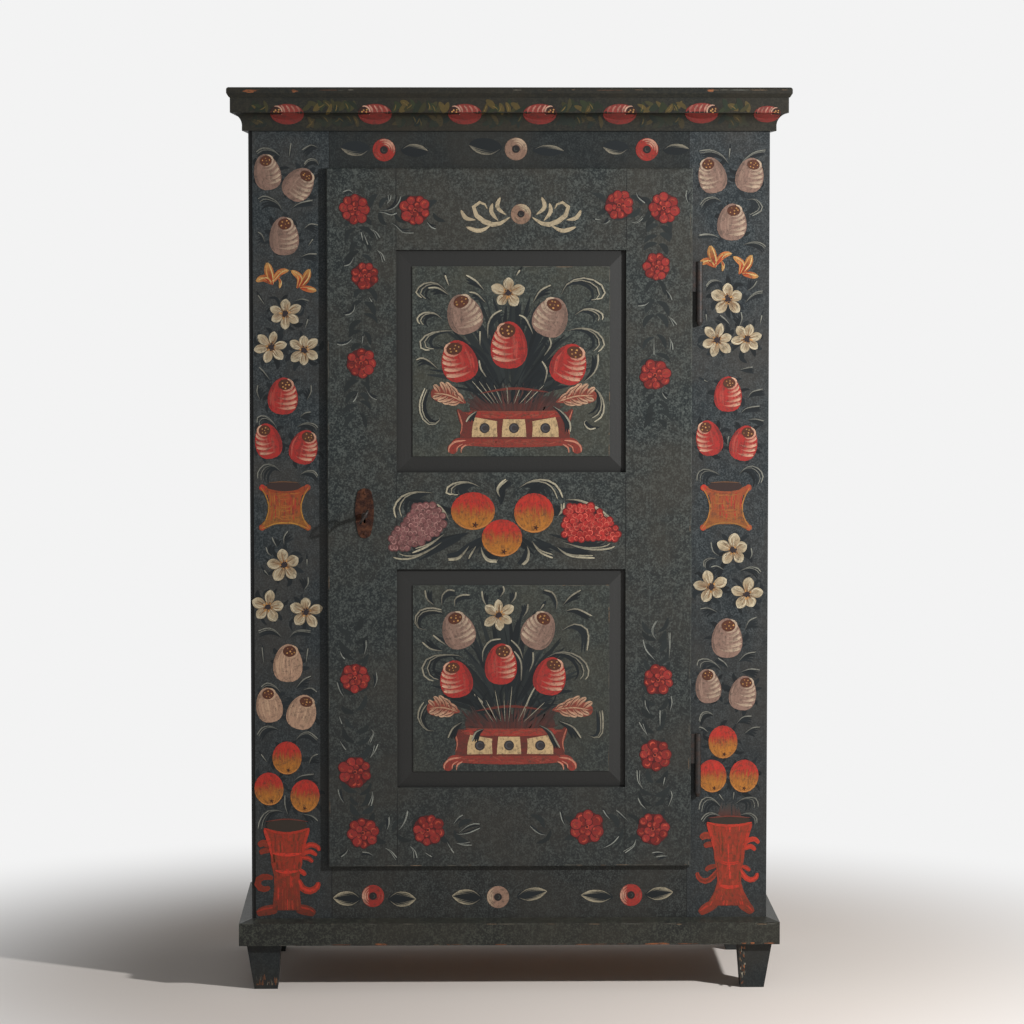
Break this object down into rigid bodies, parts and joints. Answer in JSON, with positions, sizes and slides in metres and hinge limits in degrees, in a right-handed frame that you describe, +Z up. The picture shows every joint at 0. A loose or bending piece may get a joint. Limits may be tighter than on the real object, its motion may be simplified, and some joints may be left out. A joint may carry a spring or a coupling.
{
  "type": "painted farmhouse cupboard",
  "caption": "Painted pine cupboard with a lipped frame-and-panel door on pin hinges, coved cornice, plinth, tapered feet, shelves and a working key and bolt.",
  "frame": {"origin": "centre of the bounding box's footprint, on the floor", "axes": "+X to the right seen from the front, +Y to the back, +Z up"},
  "size_m": [1.144, 0.5544, 1.849],
  "materials": {
    "painted_pine": "dark blue-green folk paint, worn at the edges",
    "bare_pine": "unpainted aged pine",
    "wrought_iron": "dark forged iron",
    "rusty_plate": "brown rusted sheet iron"
  },
  "bodies": {
    "case": {"back_plank_1": "bare_pine", "back_plank_2": "bare_pine", "back_plank_3": "bare_pine", "back_plank_4": "bare_pine", "back_plank_5": "bare_pine", "bottom_board": "bare_pine", "cornice_front": "painted_pine", "cornice_left": "painted_pine", "cornice_right": "painted_pine", "foot_back_left": "painted_pine", "foot_back_right": "painted_pine", "foot_front_left": "painted_pine", "foot_front_right": "painted_pine", "frame_pegs": "painted_pine", "front_rail_bottom": "painted_pine", "front_rail_top": "painted_pine", "front_stile_left": "painted_pine", "front_stile_right": "painted_pine", "hinge_frame_nails": "wrought_iron", "hinge_lower_frame_leaf": "wrought_iron", "hinge_lower_pin": "wrought_iron", "hinge_upper_frame_leaf": "wrought_iron", "hinge_upper_pin": "wrought_iron", "plinth_front": "painted_pine", "plinth_left": "painted_pine", "plinth_right": "painted_pine", "shelf_cleats": "bare_pine", "shelf_lower": "bare_pine", "shelf_middle": "bare_pine", "shelf_upper": "bare_pine", "side_left": "painted_pine", "side_right": "painted_pine", "strike_plate": "wrought_iron", "top_board": "painted_pine"},
    "door": {"bolt_spring": "wrought_iron", "door_hinge_stile": "painted_pine", "door_lock_stile": "painted_pine", "door_panel_lower": "painted_pine", "door_panel_upper": "painted_pine", "door_pegs": "painted_pine", "door_rail_bottom": "painted_pine", "door_rail_middle": "painted_pine", "door_rail_top": "painted_pine", "escutcheon": "rusty_plate", "escutcheon_nails": "rusty_plate", "hinge_door_nails": "wrought_iron", "hinge_lower_door_leaf": "wrought_iron", "hinge_upper_door_leaf": "wrought_iron", "lock_case": "wrought_iron", "lock_nails": "wrought_iron", "lock_plate": "wrought_iron"},
    "key": {"key": "wrought_iron"},
    "bolt": {"lock_bolt": "wrought_iron"}
  },
  "joints": [
    {"name": "door_swing", "type": "hinge", "parent": "case", "child": "door", "pos_m": [0.387, -0.20965, 0.981], "axis": [0, 0, 1], "range_deg": [0, 165]},
    {"name": "key_turn", "type": "hinge", "parent": "door", "child": "key", "pos_m": [-0.296, -0.21525, 0.981], "axis": [0, 1, 0], "range_deg": [-30, 330]},
    {"name": "bolt_slide", "type": "slide", "parent": "door", "child": "bolt", "axis": [-1, 0, 0], "range_m": [-0.0015, 0.0165]}
  ],
  "couplings": [
    {"joint": "key_turn", "follows": "bolt_slide", "rad_per_m": 349.07}
  ]
}
